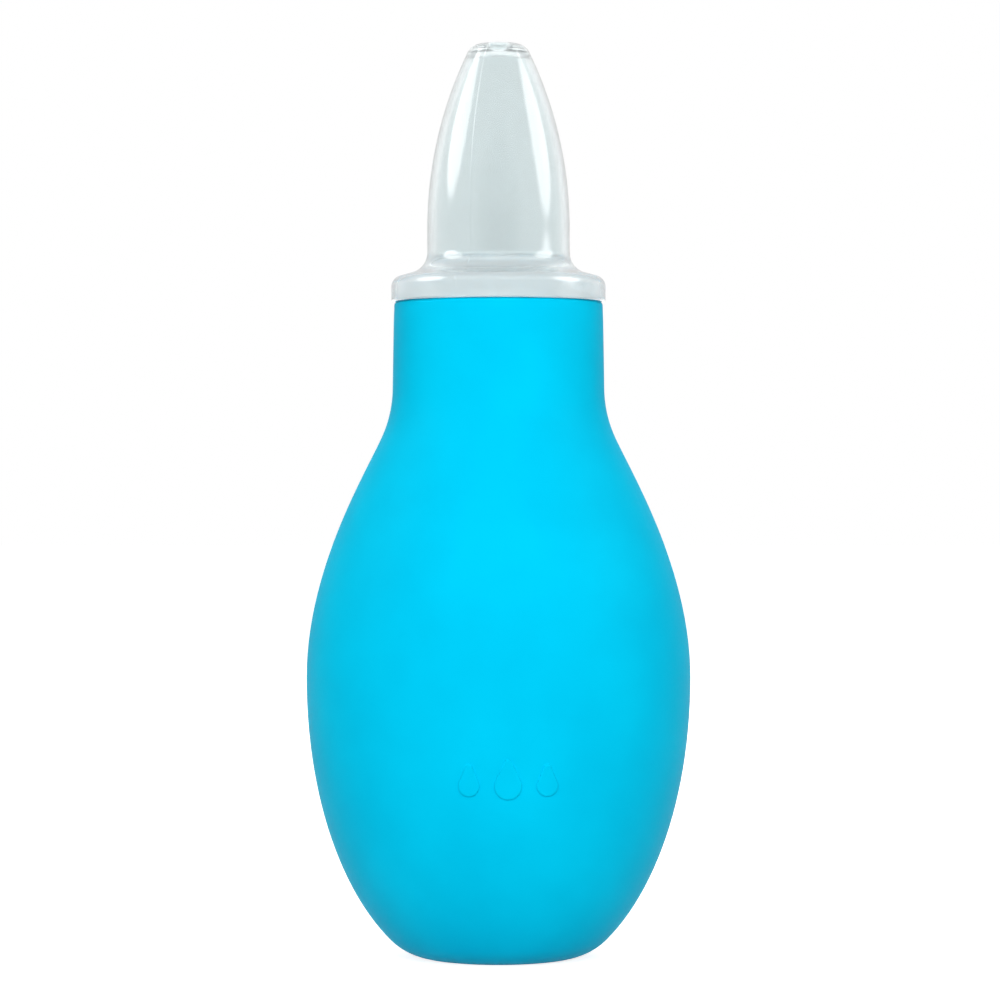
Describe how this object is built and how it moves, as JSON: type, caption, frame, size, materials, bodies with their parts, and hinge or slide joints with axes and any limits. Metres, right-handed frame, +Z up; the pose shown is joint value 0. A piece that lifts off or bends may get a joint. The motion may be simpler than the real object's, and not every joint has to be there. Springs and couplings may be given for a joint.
{
  "type": "nasal aspirator",
  "caption": "Soft squeeze bulb with a flat foot and a clear tapered nozzle plugged into its neck, which draws mucus out of a small child's nose.",
  "frame": {"origin": "centre of the bulb's flat foot, on the surface that it stands on", "axes": "+Z up along the axis of revolution towards the nozzle's tip, -Y out of the front squeeze wall, +X to the right seen from the front"},
  "size_m": [0.046, 0.046, 0.1095],
  "materials": {
    "soft_rubber": "soft satin, moulded, cyan",
    "clear_plastic": "clear, polished, moulded"
  },
  "bodies": {
    "bulb_body": {"bulb": "soft_rubber"},
    "front_wall": {"front_squeeze_wall": "soft_rubber"},
    "back_wall": {"back_squeeze_wall": "soft_rubber"},
    "nozzle_body": {"nozzle": "clear_plastic"}
  },
  "joints": [
    {"name": "front_squeeze", "type": "slide", "parent": "bulb_body", "child": "front_wall", "axis": [0, 1, 0], "range_m": [0, 0.013], "stiffness_N_per_m": 1200},
    {"name": "back_squeeze", "type": "slide", "parent": "bulb_body", "child": "back_wall", "axis": [0, -1, 0], "range_m": [0, 0.013], "stiffness_N_per_m": 1200},
    {"name": "nozzle_pull", "type": "slide", "parent": "bulb_body", "child": "nozzle_body", "axis": [0, 0, 1], "range_m": [0, 0.03]}
  ],
  "couplings": [
    {"joint": "back_squeeze", "follows": "front_squeeze", "ratio": 1}
  ]
}
